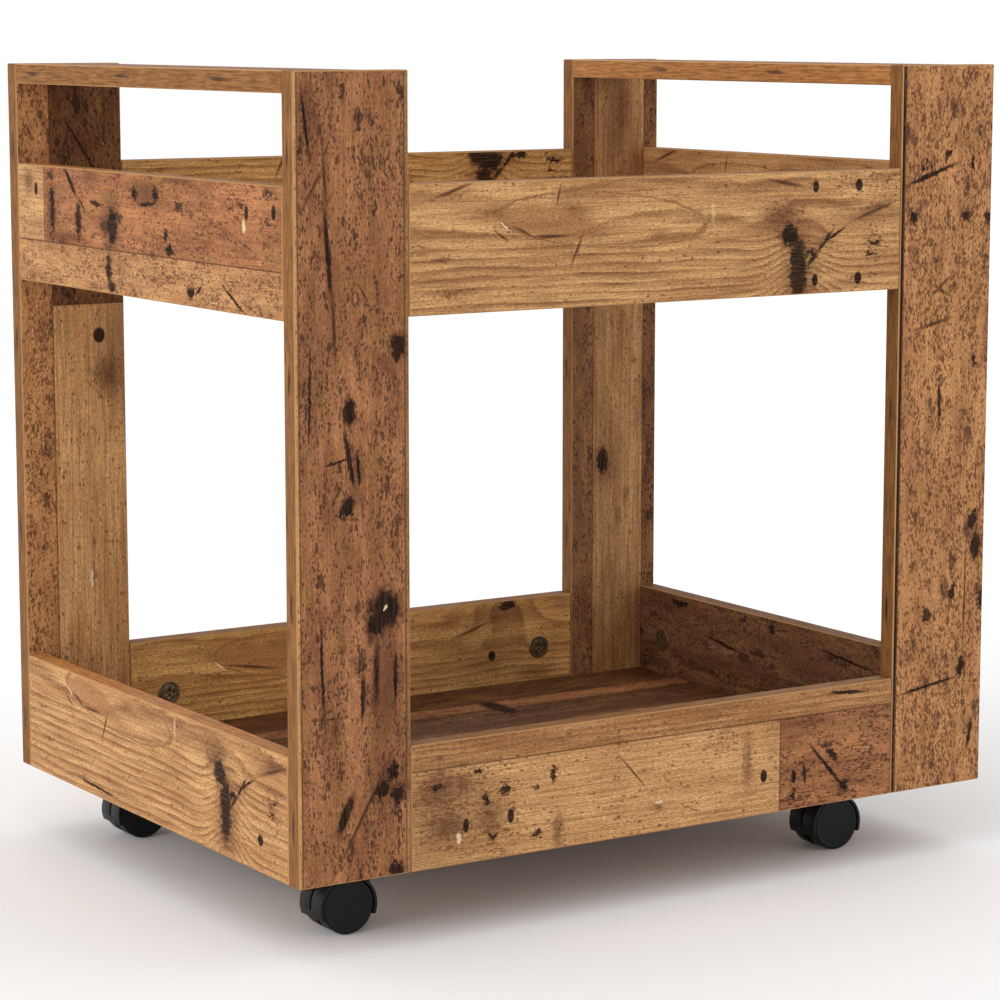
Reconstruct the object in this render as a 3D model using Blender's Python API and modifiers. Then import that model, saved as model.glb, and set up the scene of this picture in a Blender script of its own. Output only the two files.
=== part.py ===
"""Two-tier wheeled trolley of printed wood-look boards.

Four upright boards carry an upper and a lower tray. A grab board joins the
uprights at each end, and four swivelling twin-wheel casters carry the whole.
+X is to the right, +Y to the rear and +Z up. The origin is on the floor, under
the middle of the trolley. Lengths are in metres.
"""

import math

import bmesh
import bpy
from mathutils import Matrix, Vector

GAP = 0.0003  # clearance between neighbouring pieces
PASS = 0.002  # how far a cutter runs past the face it enters

# Overall size
LENGTH = 0.600
DEPTH = 0.450
HEIGHT = 0.601
RIDE = 0.053  # floor to the underside of the uprights

# Boards
BOARD = 0.015
EDGE_CHAMFER = 0.0008
POST_WIDTH = 0.088
RAIL_HEIGHT = 0.089
RAIL_BELOW_TOP = 0.0755  # top of an upright down to the top of an upper rail
SHELF_RISE = 0.001  # underside of a rail up to the underside of its shelf
HANDLE_WIDTH = 0.060

# Cam fittings: a round housing in the inner face, a bolt out through the end
FITTING_INSET = 0.034  # centre of the housing to the end of its board
FITTING_RISE = 0.045  # underside of a rail up to its fittings
POCKET_RADIUS = 0.0078
POCKET_DEPTH = 0.0128
HOUSING_RADIUS = POCKET_RADIUS - GAP
HOUSING_HEIGHT = 0.0120
HOUSING_SINK = 0.0002
SLOT_LENGTH = 0.0090
SLOT_WIDTH = 0.0018
SLOT_DEPTH = 0.0014
BOLT_RADIUS = 0.0030
BOLT_REACH = 0.0105  # how far the bolt runs into the upright
HOUSING_SIDES = 16
BOLT_SIDES = 8

# Casters
CASTER_X = 0.217
CASTER_Y = 0.160
TRAIL = 0.016  # swivel axis back to the wheel axle
WHEEL_RADIUS = 0.020
WHEEL_WIDTH = 0.0122
WHEEL_EDGE = 0.0012
WHEEL_DISH = 0.0006
WHEEL_DISH_RADIUS = 0.0165
WHEEL_BORE_DEPTH = 0.0095
WHEEL_SIDES = 24
WEB = 0.0044
HOOD_RADIUS = 0.0228
HOOD_WIDTH = 0.0304
HOOD_EDGE = 0.0008
HOOD_LIP_Z = 0.012  # floor to the lower edge of the hood
HOOD_SIDES = 22
WELL_RADIUS = 0.0208
SLIT_WIDTH = 0.0030
SLIT_DEPTH = 0.0012
SLIT_LOW_Z = 0.022
SLIT_HIGH_Z = 0.036
BOSS_RADIUS = 0.0085
BOSS_TOP = 0.0501
BOSS_SIDES = 16
AXLE_RADIUS = 0.0020
AXLE_LENGTH = 0.0228
AXLE_SIDES = 8
KINGPIN_RADIUS = 0.0025
KINGPIN_LOW = 0.0386
KINGPIN_HIGH = 0.0534
SOCKET_LOW = 0.0380
COLLAR_RADIUS = 0.0060
COLLAR_LOW = 0.0505
COLLAR_HIGH = 0.0517
KINGPIN_SIDES = 12
PLATE_SIDE = 0.038
PLATE_LOW = 0.0520
PLATE_THICK = 0.0017
PLATE_CORNER = 0.0040
SCREW_PITCH = 0.027
SCREW_HOLE = 0.0022
SCREW_SIDES = 8

HALF_X = LENGTH / 2
HALF_Y = DEPTH / 2
INNER_X = HALF_X - BOARD
INNER_Y = HALF_Y - BOARD
OPEN_X = HALF_X - POST_WIDTH
LOWER_RAIL_Z = RIDE
UPPER_RAIL_Z = HEIGHT - RAIL_BELOW_TOP - RAIL_HEIGHT

FRONT_REAR = (("front", -1), ("rear", 1))
LEFT_RIGHT = (("left", -1), ("right", 1))
LEVELS = (("lower", LOWER_RAIL_Z), ("upper", UPPER_RAIL_Z))


def clear_scene():
    for obj in list(bpy.data.objects):
        bpy.data.objects.remove(obj, do_unlink=True)


def make_collection(name, hidden=False):
    collection = bpy.data.collections.new(name)
    collection.hide_render = hidden
    bpy.context.scene.collection.children.link(collection)
    return collection


def make_material(name, color, roughness, metallic=0.0):
    material = bpy.data.materials.new(name)
    material.use_nodes = True
    shader = material.node_tree.nodes["Principled BSDF"]
    shader.inputs["Base Color"].default_value = (*color, 1.0)
    shader.inputs["Roughness"].default_value = roughness
    shader.inputs["Metallic"].default_value = metallic
    return material


def mesh_from(name, bm):
    bmesh.ops.recalc_face_normals(bm, faces=bm.faces)
    mesh = bpy.data.meshes.new(name)
    bm.to_mesh(mesh)
    bm.free()
    return mesh


def box_mesh(name, low, high):
    """A box between two corners, with its own origin at the middle."""
    size = Vector(high) - Vector(low)
    bm = bmesh.new()
    bmesh.ops.create_cube(bm, size=1.0, matrix=Matrix.Diagonal((*size, 1.0)))
    return mesh_from(name, bm)


def cylinder_mesh(name, radius, low, high, sides):
    """A cylinder on the local Z axis."""
    bm = bmesh.new()
    middle = Matrix.Translation((0, 0, (low + high) / 2))
    bmesh.ops.create_cone(
        bm,
        cap_ends=True,
        segments=sides,
        radius1=radius,
        radius2=radius,
        depth=high - low,
        matrix=middle,
    )
    return mesh_from(name, bm)


def turned_mesh(name, profile, sides):
    """A solid turned about the local Z axis from (radius, z) points that start and end on it."""
    bm = bmesh.new()
    points = [bm.verts.new((radius, 0.0, z)) for radius, z in profile]
    edges = [bm.edges.new(pair) for pair in zip(points, points[1:])]
    bmesh.ops.spin(
        bm,
        geom=points + edges,
        cent=(0, 0, 0),
        axis=(0, 0, 1),
        angle=2 * math.pi,
        steps=sides,
        use_merge=True,
    )
    bmesh.ops.remove_doubles(bm, verts=bm.verts, dist=1e-6)
    return mesh_from(name, bm)


def prism_mesh(name, outline, low, high):
    """An (x, z) outline drawn out along Y from low to high."""
    bm = bmesh.new()
    face = bm.faces.new([bm.verts.new((x, low, z)) for x, z in outline])
    drawn = bmesh.ops.extrude_face_region(bm, geom=[face])
    moved = [v for v in drawn["geom"] if isinstance(v, bmesh.types.BMVert)]
    bmesh.ops.translate(bm, verts=moved, vec=(0, high - low, 0))
    return mesh_from(name, bm)


def place(name, mesh, collection, location=(0, 0, 0), rotation=None, parent=None):
    obj = bpy.data.objects.new(name, mesh)
    collection.objects.link(obj)
    obj.location = location
    if rotation is not None:
        obj.rotation_euler = rotation.to_euler()
    obj.parent = parent
    return obj


def place_cutter(name, mesh, location=(0, 0, 0), rotation=None, parent=None):
    obj = place(name, mesh, CUTTERS, location, rotation, parent)
    obj.hide_render = True
    obj.display_type = "WIRE"
    return obj


def combine(obj, other, operation):
    modifier = obj.modifiers.new(other.name, "BOOLEAN")
    modifier.operation = operation
    modifier.solver = "EXACT"
    modifier.object = other


def chamfer_edges(obj, width):
    modifier = obj.modifiers.new("edges", "BEVEL")
    modifier.width = width
    modifier.segments = 1
    modifier.limit_method = "ANGLE"


def finished_mesh(obj, name):
    """The object's mesh with its modifiers in it, for pieces that are used more than once."""
    bpy.context.view_layer.update()
    graph = bpy.context.evaluated_depsgraph_get()
    mesh = bpy.data.meshes.new_from_object(obj.evaluated_get(graph))
    mesh.name = name
    return mesh


def add_board(name, low, high, material):
    middle = (Vector(low) + Vector(high)) / 2
    board = place(name, box_mesh(name, low, high), TROLLEY, middle)
    board.data.materials.append(material)
    chamfer_edges(board, EDGE_CHAMFER)
    return board


def add_posts():
    posts = {}
    for side, sx in LEFT_RIGHT:
        for end, sy in FRONT_REAR:
            xs = sorted((sx * HALF_X, sx * OPEN_X))
            ys = sorted((sy * HALF_Y, sy * INNER_Y))
            name = f"post_{end}_{side}"
            low = (xs[0], ys[0], RIDE)
            high = (xs[1], ys[1], HEIGHT)
            posts[end, side] = add_board(name, low, high, POST_WOOD)
    return posts


def add_long_rails():
    rails = {}
    reach = OPEN_X - GAP
    for level, z in LEVELS:
        for end, sy in FRONT_REAR:
            ys = sorted((sy * HALF_Y, sy * INNER_Y))
            low = (-reach, ys[0], z)
            high = (reach, ys[1], z + RAIL_HEIGHT)
            name = f"long_rail_{level}_{end}"
            rails[level, end] = add_board(name, low, high, RAIL_WOOD)
    return rails


def add_side_rails():
    rails = {}
    reach = INNER_Y - GAP
    for level, z in LEVELS:
        for side, sx in LEFT_RIGHT:
            xs = sorted((sx * HALF_X, sx * INNER_X))
            low = (xs[0], -reach, z)
            high = (xs[1], reach, z + RAIL_HEIGHT)
            name = f"side_rail_{level}_{side}"
            rails[level, side] = add_board(name, low, high, RAIL_WOOD)
    return rails


def add_shelves():
    reach = Vector((INNER_X - GAP, INNER_Y - GAP))
    for level, z in LEVELS:
        low = (*-reach, z + SHELF_RISE)
        high = (*reach, z + SHELF_RISE + BOARD)
        add_board(f"shelf_{level}", low, high, SHELF_WOOD)


def add_handles():
    """Both grab boards start at the left edge of the uprights they join."""
    handles = {}
    reach = INNER_Y - GAP
    for side, left in (("left", -HALF_X), ("right", OPEN_X)):
        low = (left, -reach, HEIGHT - BOARD)
        high = (left + HANDLE_WIDTH, reach, HEIGHT)
        handles[side] = add_board(f"handle_{side}", low, high, RAIL_WOOD)
    return handles


def bolt_turn():
    """Turns a cylinder from the local Z axis onto +X."""
    return Matrix.Rotation(math.pi / 2, 3, "Y")


def fitting_mesh():
    """Housing below z = 0 on the Z axis, with its bolt running along +X."""
    top = -HOUSING_SINK
    low = top - HOUSING_HEIGHT
    sides = HOUSING_SIDES
    body = cylinder_mesh("housing", HOUSING_RADIUS, low, top, sides)
    housing = place_cutter("housing_form", body)
    reach = FITTING_INSET + BOLT_REACH
    rod = cylinder_mesh("bolt", BOLT_RADIUS, 0.0, reach, BOLT_SIDES)
    half_board = (0, 0, -BOARD / 2)
    bolt = place_cutter("bolt_form", rod, half_board, bolt_turn())
    combine(housing, bolt, "UNION")
    depth = SLOT_DEPTH + PASS
    corner = Vector((SLOT_LENGTH, SLOT_WIDTH, depth)) / 2
    slot_middle = (0, 0, top - SLOT_DEPTH + depth / 2)
    slot = place_cutter("slot_form", box_mesh("slot", -corner, corner), slot_middle)
    combine(housing, slot, "DIFFERENCE")
    return finished_mesh(housing, "cam_fitting")


def frame_of(face_normal, bolt_way):
    """The rotation that points local Z out of the board's face and local X along the bolt."""
    across = Vector(face_normal).cross(Vector(bolt_way))
    return Matrix((bolt_way, across, face_normal)).transposed()


def add_fitting(name, centre, face_normal, bolt_way, board, post):
    turn = frame_of(face_normal, bolt_way)
    place(name, FITTING, TROLLEY, centre, turn)
    pocket = place_cutter(f"{name}_pocket", POCKET, centre, turn)
    bolt_centre = Vector(centre) - Vector(face_normal) * BOARD / 2
    bore = place_cutter(f"{name}_bore", BORE, bolt_centre, turn @ bolt_turn())
    combine(board, pocket, "DIFFERENCE")
    combine(board, bore, "DIFFERENCE")
    combine(post, bore, "DIFFERENCE")


def add_long_rail_fittings(rails, posts):
    x = OPEN_X - FITTING_INSET
    for level, z in LEVELS:
        for end, sy in FRONT_REAR:
            for side, sx in LEFT_RIGHT:
                add_fitting(
                    f"cam_long_{level}_{end}_{side}",
                    (sx * x, sy * INNER_Y, z + FITTING_RISE),
                    (0, -sy, 0),
                    (sx, 0, 0),
                    rails[level, end],
                    posts[end, side],
                )


def add_side_rail_fittings(rails, posts):
    y = INNER_Y - FITTING_INSET
    for level, z in LEVELS:
        for side, sx in LEFT_RIGHT:
            for end, sy in FRONT_REAR:
                add_fitting(
                    f"cam_side_{level}_{side}_{end}",
                    (sx * INNER_X, sy * y, z + FITTING_RISE),
                    (-sx, 0, 0),
                    (0, sy, 0),
                    rails[level, side],
                    posts[end, side],
                )


def add_handle_fittings(handles, posts):
    y = INNER_Y - FITTING_INSET
    for side, left in (("left", -HALF_X), ("right", OPEN_X)):
        for end, sy in FRONT_REAR:
            add_fitting(
                f"cam_handle_{side}_{end}",
                (left + HANDLE_WIDTH / 2, sy * y, HEIGHT - BOARD),
                (0, 0, -1),
                (0, sy, 0),
                handles[side],
                posts[end, side],
            )


def wheel_mesh():
    """A wheel on the local Z axis: inner face at z = 0, outer face at z = WHEEL_WIDTH.

    Its tread is faceted. It stands on the middle of a facet, at WHEEL_RADIUS below the axle.
    """
    half_step = math.pi / WHEEL_SIDES
    tread = WHEEL_RADIUS / math.cos(half_step)
    rim = tread - WHEEL_EDGE
    bore = AXLE_RADIUS + GAP
    out = WHEEL_WIDTH
    profile = (
        (0.0, WHEEL_BORE_DEPTH),
        (bore, WHEEL_BORE_DEPTH),
        (bore, 0.0),
        (rim, 0.0),
        (tread, WHEEL_EDGE),
        (tread, out - WHEEL_EDGE - WHEEL_DISH),
        (rim, out - WHEEL_DISH),
        (WHEEL_DISH_RADIUS, out),
        (0.0, out),
    )
    mesh = turned_mesh("wheel", profile, WHEEL_SIDES)
    mesh.transform(Matrix.Rotation(half_step, 4, "Z"))
    return mesh


def kingpin_mesh():
    profile = (
        (0.0, KINGPIN_LOW),
        (KINGPIN_RADIUS, KINGPIN_LOW),
        (KINGPIN_RADIUS, COLLAR_LOW),
        (COLLAR_RADIUS, COLLAR_LOW),
        (COLLAR_RADIUS, COLLAR_HIGH),
        (KINGPIN_RADIUS, COLLAR_HIGH),
        (KINGPIN_RADIUS, KINGPIN_HIGH),
        (0.0, KINGPIN_HIGH),
    )
    return turned_mesh("kingpin", profile, KINGPIN_SIDES)


def hood_outline():
    """The hood from the side, about the wheel axle: an arc closed by a level edge below."""
    lip = math.asin((HOOD_LIP_Z - WHEEL_RADIUS) / HOOD_RADIUS)
    sweep = math.pi - 2 * lip
    points = []
    for step in range(HOOD_SIDES + 1):
        angle = lip + sweep * step / HOOD_SIDES
        x = HOOD_RADIUS * math.cos(angle) - TRAIL
        z = HOOD_RADIUS * math.sin(angle) + WHEEL_RADIUS
        points.append((x, z))
    return points


def hood_mesh():
    """The hood about the swivel axis, with a socket for the kingpin and a well for each wheel."""
    half = HOOD_WIDTH / 2
    outline = prism_mesh("hood", hood_outline(), -half, half)
    hood = place_cutter("hood_form", outline)
    chamfer_edges(hood, HOOD_EDGE)
    body = cylinder_mesh("boss", BOSS_RADIUS, WHEEL_RADIUS, BOSS_TOP, BOSS_SIDES)
    combine(hood, place_cutter("boss_form", body), "UNION")
    on_axle = Matrix.Rotation(math.pi / 2, 3, "X")
    axle = (-TRAIL, 0, WHEEL_RADIUS)
    outside = half + PASS
    for side, way in (("near", 1), ("far", -1)):
        low, high = sorted((way * WEB / 2, way * outside))
        well = cylinder_mesh(f"well_{side}", WELL_RADIUS, low, high, WHEEL_SIDES)
        combine(hood, place_cutter(f"well_{side}", well, axle, on_axle), "DIFFERENCE")
    radius = AXLE_RADIUS + GAP
    hole = cylinder_mesh("axle_hole", radius, -outside, outside, AXLE_SIDES)
    combine(hood, place_cutter("axle_hole", hole, axle, on_axle), "DIFFERENCE")
    radius = KINGPIN_RADIUS + GAP
    top = BOSS_TOP + PASS
    socket = cylinder_mesh("socket", radius, SOCKET_LOW, top, KINGPIN_SIDES)
    combine(hood, place_cutter("socket", socket), "DIFFERENCE")
    back = -TRAIL - HOOD_RADIUS
    low = (back - PASS, -SLIT_WIDTH / 2, SLIT_LOW_Z)
    high = (back + SLIT_DEPTH, SLIT_WIDTH / 2, SLIT_HIGH_Z)
    middle = (Vector(low) + Vector(high)) / 2
    slit = place_cutter("slit", box_mesh("slit", low, high), middle)
    combine(hood, slit, "DIFFERENCE")
    return finished_mesh(hood, "hood")


def plate_mesh():
    """The mounting plate, with its four screw holes and the kingpin's hole."""
    half = PLATE_SIDE / 2
    high = PLATE_LOW + PLATE_THICK
    flat = box_mesh("plate", (-half, -half, PLATE_LOW), (half, half, high))
    bm = bmesh.new()
    bm.from_mesh(flat)
    upright = [e for e in bm.edges if abs(e.verts[0].co.z - e.verts[1].co.z) > GAP]
    bmesh.ops.bevel(bm, geom=upright, offset=PLATE_CORNER, segments=3, affect="EDGES")
    centre = (0, 0, (PLATE_LOW + high) / 2)
    plate = place_cutter("plate_form", mesh_from("plate_blank", bm), centre)
    low, top = PLATE_LOW - PASS, high + PASS
    middle = cylinder_mesh("pin_hole", KINGPIN_RADIUS + GAP, low, top, KINGPIN_SIDES)
    combine(plate, place_cutter("pin_hole", middle), "DIFFERENCE")
    hole = cylinder_mesh("screw_hole", SCREW_HOLE, low, top, SCREW_SIDES)
    for index, (sx, sy) in enumerate(((-1, -1), (1, -1), (1, 1), (-1, 1))):
        at = (sx * SCREW_PITCH / 2, sy * SCREW_PITCH / 2, 0)
        cutter = place_cutter(f"screw_hole_{index}", hole, at)
        combine(plate, cutter, "DIFFERENCE")
    mesh = finished_mesh(plate, "mounting_plate")
    mesh.transform(Matrix.Translation(centre))
    return mesh


def axle_mesh():
    half = AXLE_LENGTH / 2
    return cylinder_mesh("axle", AXLE_RADIUS, -half, half, AXLE_SIDES)


def caster_meshes():
    meshes = {
        "mounting_plate": (plate_mesh(), STEEL),
        "kingpin": (kingpin_mesh(), STEEL),
        "hood": (hood_mesh(), BLACK_PLASTIC),
        "axle": (axle_mesh(), STEEL),
        "wheel": (wheel_mesh(), BLACK_PLASTIC),
    }
    for mesh, material in meshes.values():
        mesh.materials.clear()
        mesh.materials.append(material)
    return {name: mesh for name, (mesh, _) in meshes.items()}


def add_caster(end, side, centre, meshes):
    """One caster: the plate and kingpin stay with the shelf, the rest turns about the swivel."""
    where = f"{end}_{side}"
    fixed = place(f"mount_{where}", None, TROLLEY, centre)
    swivel = place(f"swivel_{where}", None, TROLLEY, centre)
    for piece, parent in (
        ("mounting_plate", fixed),
        ("kingpin", fixed),
        ("hood", swivel),
    ):
        place(f"{piece}_{where}", meshes[piece], TROLLEY, parent=parent)
    hub = (-TRAIL, 0, WHEEL_RADIUS)
    on_axle = Matrix.Rotation(math.pi / 2, 3, "X")
    place(f"axle_{where}", meshes["axle"], TROLLEY, hub, on_axle, swivel)
    inner = WEB / 2 + GAP
    for piece, way in (("outer", -1), ("inner", 1)):
        turn = Matrix.Rotation(-way * math.pi / 2, 3, "X")
        at = (-TRAIL, way * inner, WHEEL_RADIUS)
        name = f"wheel_{piece}_{where}"
        place(name, meshes["wheel"], TROLLEY, at, turn, swivel)


def add_casters():
    meshes = caster_meshes()
    for end, sy in FRONT_REAR:
        for side, sx in LEFT_RIGHT:
            add_caster(end, side, (sx * CASTER_X, sy * CASTER_Y, 0), meshes)


clear_scene()
TROLLEY = make_collection("tray_trolley")
CUTTERS = make_collection("cutters", hidden=True)

POST_WOOD = make_material("post_wood", (0.30, 0.13, 0.055), 0.55)
RAIL_WOOD = make_material("rail_wood", (0.45, 0.24, 0.10), 0.55)
SHELF_WOOD = make_material("shelf_wood", (0.16, 0.075, 0.035), 0.55)
ZINC = make_material("zinc", (0.45, 0.44, 0.42), 0.40, metallic=1.0)
STEEL = make_material("steel", (0.55, 0.55, 0.56), 0.35, metallic=1.0)
BLACK_PLASTIC = make_material("black_plastic", (0.012, 0.012, 0.013), 0.45)

FITTING = fitting_mesh()
FITTING.materials.append(ZINC)
POCKET = cylinder_mesh("pocket", POCKET_RADIUS, -POCKET_DEPTH, PASS, HOUSING_SIDES)
BORE_END = FITTING_INSET + BOLT_REACH + GAP
BORE = cylinder_mesh("bore", BOLT_RADIUS + GAP, 0.0, BORE_END, BOLT_SIDES)

all_posts = add_posts()
add_long_rail_fittings(add_long_rails(), all_posts)
add_side_rail_fittings(add_side_rails(), all_posts)
add_shelves()
add_handle_fittings(add_handles(), all_posts)
add_casters()
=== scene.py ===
import math
from types import SimpleNamespace

import bmesh
import bpy
from mathutils import Matrix, Vector


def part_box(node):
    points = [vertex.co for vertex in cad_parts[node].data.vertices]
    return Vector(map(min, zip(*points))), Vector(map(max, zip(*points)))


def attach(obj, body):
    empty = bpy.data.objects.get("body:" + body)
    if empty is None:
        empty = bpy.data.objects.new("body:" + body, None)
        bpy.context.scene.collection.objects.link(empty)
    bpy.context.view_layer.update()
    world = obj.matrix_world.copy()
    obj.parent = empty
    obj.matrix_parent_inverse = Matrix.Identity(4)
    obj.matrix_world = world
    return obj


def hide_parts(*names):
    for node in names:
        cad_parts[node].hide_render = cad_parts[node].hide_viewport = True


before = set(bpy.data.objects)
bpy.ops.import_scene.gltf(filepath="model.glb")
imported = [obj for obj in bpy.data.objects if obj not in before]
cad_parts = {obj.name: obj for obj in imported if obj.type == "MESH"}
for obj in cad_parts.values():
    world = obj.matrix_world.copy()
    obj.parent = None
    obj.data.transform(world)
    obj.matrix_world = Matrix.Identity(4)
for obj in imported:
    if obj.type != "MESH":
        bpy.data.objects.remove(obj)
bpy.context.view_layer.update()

# Looks of the tray trolley: boards in printed old wood, zinc cam fittings and black casters.
# Lengths in the geometry are in metres. Lengths in materials are in millimetres, and in the
# wood print they are counted from a board's corner: first along the board, then across it.

ENDS = ("front", "rear")
SIDES = ("left", "right")
MM_PER_M = 1000.0


# Node trees


def srgb(red, green, blue):
    """A colour given as on a screen, 0 to 255, as a linear one."""
    linear = []
    for channel in (red, green, blue):
        share = channel / 255
        linear.append(share / 12.92 if share <= 0.04045 else ((share + 0.055) / 1.055) ** 2.4)
    return (*linear, 1.0)


class Graph:
    """The node tree of one material. A value is a number, a tuple or another node's socket."""

    def __init__(self, name):
        self.material = bpy.data.materials.new(name)
        self.material.use_nodes = True
        self.tree = self.material.node_tree
        self.tree.nodes.clear()
        output = self.add("ShaderNodeOutputMaterial")
        self.shader = self.add("ShaderNodeBsdfPrincipled")
        self.tree.links.new(self.shader.outputs[0], output.inputs["Surface"])

    def add(self, kind, inputs=None, **settings):
        node = self.tree.nodes.new(kind)
        for key, value in settings.items():
            setattr(node, key, value)
        for key, value in (inputs or {}).items():
            self.feed(node.inputs[key], value)
        return node

    def feed(self, socket, value):
        if isinstance(value, bpy.types.NodeSocket):
            self.tree.links.new(value, socket)
        else:
            socket.default_value = value

    def math(self, operation, *values):
        return self.add("ShaderNodeMath", dict(enumerate(values)), operation=operation).outputs[0]

    def vector(self, operation, *values):
        node = self.add("ShaderNodeVectorMath", dict(enumerate(values)), operation=operation)
        scalar = operation in ("LENGTH", "DOT_PRODUCT")
        return node.outputs["Value" if scalar else "Vector"]

    def step(self, value, low, high, at_low=0.0, at_high=1.0):
        """at_low below low, at_high above high, and a smooth change between them."""
        inputs = {0: value, 1: low, 2: high, 3: at_low, 4: at_high}
        node = self.add("ShaderNodeMapRange", inputs, interpolation_type="SMOOTHSTEP")
        return node.outputs[0]

    def mix(self, share, first, second):
        """A colour: first where share is 0, second where it is 1."""
        inputs = {0: share, 6: first, 7: second}
        return self.add("ShaderNodeMix", inputs, data_type="RGBA").outputs[2]

    def between(self, share, first, second):
        """A number: first where share is 0, second where it is 1."""
        inputs = {0: share, 2: first, 3: second}
        return self.add("ShaderNodeMix", inputs, data_type="FLOAT").outputs[0]

    def noise(self, place, size, detail=2.0, roughness=0.5, output="Fac"):
        """Noise whose grains have the given size in the units of place."""
        stretched = self.vector("DIVIDE", place, size)
        inputs = {"Vector": stretched, "Scale": 1.0, "Detail": detail, "Roughness": roughness}
        return self.add("ShaderNodeTexNoise", inputs).outputs[output]

    def oval(self, place, along, across, half_length, half_width, turn=0.0):
        """Distance from an oval's middle: 1 on its outline."""
        inputs = {
            "Vector": place,
            "Location": (along, across, 0.0),
            "Rotation": (0.0, 0.0, turn),
            "Scale": (half_length, half_width, 1e6),
        }
        mapped = self.add("ShaderNodeMapping", inputs, vector_type="TEXTURE").outputs[0]
        return self.vector("LENGTH", mapped)

    def largest(self, values):
        most = 0.0
        for value in values:
            most = self.math("MAXIMUM", most, value)
        return most

    def flecks(self, place, size, density, rough):
        """Separate dashes: 1 inside. size is their pitch, and density the share that is there.

        rough is noise that makes their outlines ragged.
        """
        stretched = self.vector("DIVIDE", place, size)
        inputs = {"Vector": stretched, "Scale": 1.0}
        cell = self.add("ShaderNodeTexVoronoi", inputs, voronoi_dimensions="2D").outputs
        chance, extent, _ = self.add("ShaderNodeSeparateXYZ", {0: cell["Color"]}).outputs
        radius = self.math("MULTIPLY_ADD", self.math("MULTIPLY", extent, extent), 0.40, -0.62)
        radius = self.math("MULTIPLY_ADD", rough, 1.6, radius)
        inside = self.step(self.math("SUBTRACT", radius, cell["Distance"]), -0.08, 0.12)
        return self.math("MULTIPLY", inside, self.math("LESS_THAN", chance, density))

    def bump(self, height, depth, distance):
        inputs = {"Height": height, "Strength": depth, "Distance": distance}
        return self.add("ShaderNodeBump", inputs).outputs[0]


# Printed old wood


def wood(light, deep, rings, specks, fibre, worn, fleck=(66, 42, 32)):
    """A kind of plank: its two tones, and how strongly rings, specks, fibres and wear show.

    specks is the share of places that have a fleck, and fleck is the flecks' colour.
    """
    tones = {"light": srgb(*light), "deep": srgb(*deep), "fleck": srgb(*fleck)}
    return SimpleNamespace(**tones, rings=rings, specks=specks, fibre=fibre, worn=worn)


BROWN = (112, 70, 42)
HONEY = wood((214, 165, 110), (190, 140, 91), 1.0, 0.04, 0.7, 0.15, BROWN)
PALE = wood((214, 166, 112), (192, 143, 93), 0.3, 0.10, 0.8, 0.15, BROWN)
STRIP = wood((190, 141, 93), (154, 106, 66), 0.9, 0.10, 0.9, 0.2, BROWN)
RED_WORN = wood((178, 121, 81), (144, 93, 61), 0.0, 0.34, 0.8, 0.75)
CORK = wood((196, 141, 92), (176, 122, 79), 0.0, 0.62, 0.45, 0.6, (88, 50, 33))
PURPLE_WORN = wood((194, 130, 83), (156, 98, 63), 0.0, 0.26, 0.7, 0.9, (92, 50, 34))
SPECKLED = wood((208, 154, 102), (184, 130, 84), 0.15, 0.5, 0.5, 0.5, (104, 64, 42))
OLIVE_HONEY = wood((212, 167, 102), (186, 141, 82), 1.0, 0.06, 0.7, 0.2, BROWN)
GREY_HONEY = wood((178, 138, 93), (148, 110, 71), 0.6, 0.15, 0.9, 0.3, BROWN)
DARK = wood((128, 86, 54), (58, 37, 24), 0.5, 0.35, 1.0, 0.8, (36, 22, 16))
BROWN_WORN = wood((142, 100, 70), (104, 71, 49), 0.3, 0.35, 0.9, 0.8)

STAIN = srgb(22, 14, 11)
HALO = srgb(96, 58, 38)
CHIP = srgb(226, 200, 158)
BAND = srgb(152, 104, 57)
BAND_DEEP = srgb(114, 74, 40)
SEAM = srgb(84, 54, 32)
# Pale colour for board edges: a painted highlight on the chamfers, and along the faces' sides
# partly a painted highlight, partly the edge band's own pale edge.
ARRIS_HIGHLIGHT = srgb(190, 146, 96)
OLIVE = srgb(150, 112, 58)
PLUM = srgb(110, 60, 45)
FLECK = srgb(54, 34, 26)
FIBRE = srgb(112, 74, 44)
RING = srgb(120, 76, 46)
DAB = srgb(112, 72, 46)
ISLAND = srgb(158, 108, 68)
SHADE = srgb(92, 58, 38)
DUST = srgb(46, 45, 44)
WOOD_SPECULAR = 0.09
WOOD_RELIEF = 0.0006
PRINT_REPEAT = 150.0

# How each kind of mark looks: what it changes, how soft its outline is, its strength, and
# how ragged its outline is, from 0 to 2
MARKS = {
    "hole": ("stain", 0.25, 0.97, 0),
    "spot": ("stain", 0.5, 0.92, 2),
    "crack": ("stain", 0.6, 0.9, 1),
    "line": ("stain", 0.8, 0.65, 0),
    "smear": ("stain", 1.0, 0.5, 2),
    "knot": ("stain", 0.7, 0.97, 2),
    "root": ("stain", 0.9, 0.8, 1),
    "patch": ("specks", 1.0, 0.5, 2),
    "loop": ("loop", 0.0, 0.7, 1),
    "chip": ("chip", 0.5, 0.9, 1),
    "streak": ("chip", 1.0, 0.5, 1),
    "island": ("island", 0.16, 0.8, 1),
    "shade": ("shade", 1.0, 1.0, 2),
}


def between_points(from_along, from_across, to_along, to_across, half_width):
    """The oval of a long thin mark between two points."""
    along, across = to_along - from_along, to_across - from_across
    middle = ((from_along + to_along) / 2, (from_across + to_across) / 2)
    return (*middle, math.hypot(along, across) / 2, half_width, math.atan2(across, along))


def mark_oval(kind, numbers):
    if kind in ("crack", "line", "root"):
        return between_points(*numbers)
    turn = math.radians(numbers[4]) if len(numbers) > 4 else 0.0
    return (*numbers[:4], turn)


def plank(kind, along=(-50, 700), across=(-50, 500)):
    return SimpleNamespace(kind=kind, along=along, across=across)


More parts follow.
